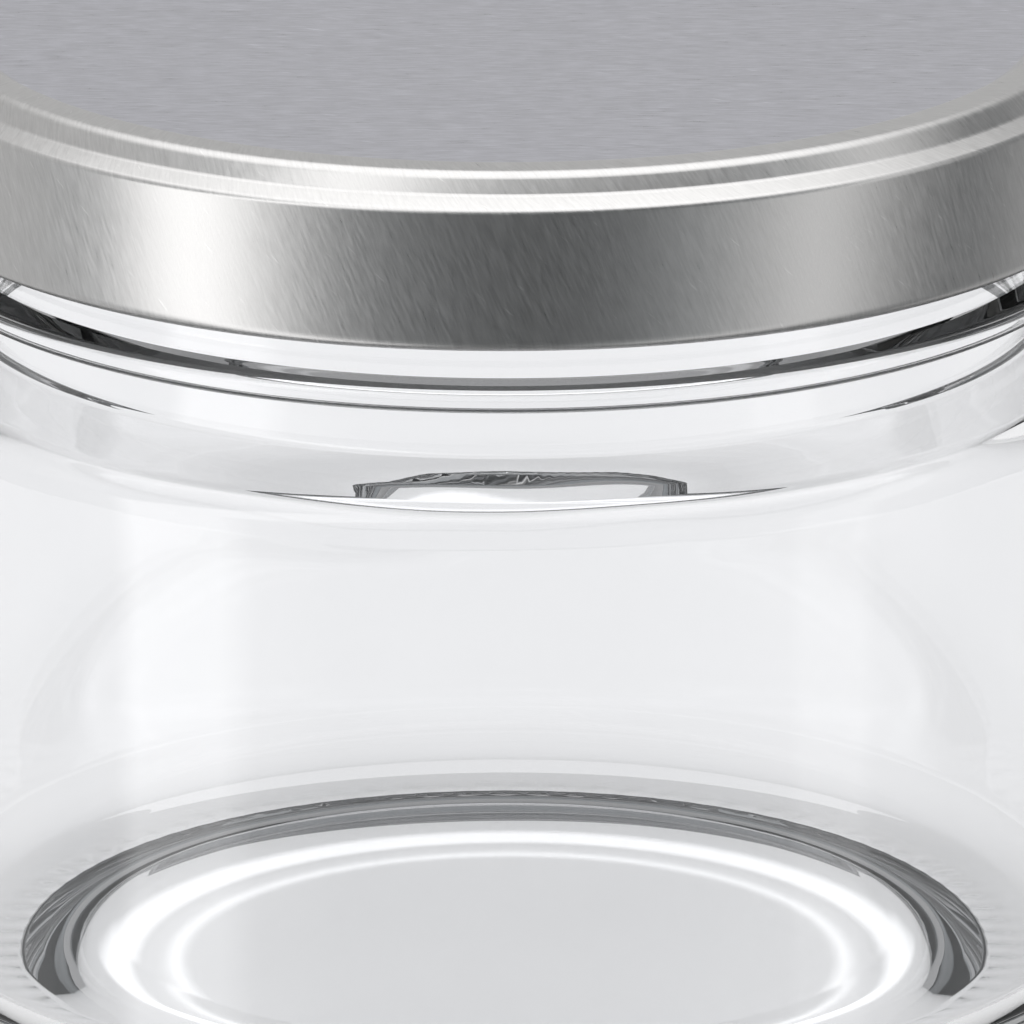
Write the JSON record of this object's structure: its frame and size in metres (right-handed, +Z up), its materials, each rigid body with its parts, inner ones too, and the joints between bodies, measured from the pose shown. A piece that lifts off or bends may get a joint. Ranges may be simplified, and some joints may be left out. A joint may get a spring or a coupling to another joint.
{
  "type": "glass jar with twist-off lid",
  "caption": "Empty clear glass food jar, wide and low, with straight sides, a short neck with a bead, and a closed brushed metal twist-off lid.",
  "frame": {"origin": "middle of the ring that the jar stands on, at the height of that ring", "axes": "+Z up along the jar's turning axis, towards the lid; X and Y level, and the part is the same all round"},
  "size_m": [0.0716, 0.0716, 0.0575],
  "materials": {
    "glass": "clear colourless soda-lime glass, fire polished",
    "tinplate": "silver tinplate with fine brushing, satin",
    "compound": "off-white sealing compound, dull"
  },
  "bodies": {
    "root": {"jar": "glass", "lid": "tinplate", "seal_ring": "compound"}
  },
  "joints": []
}
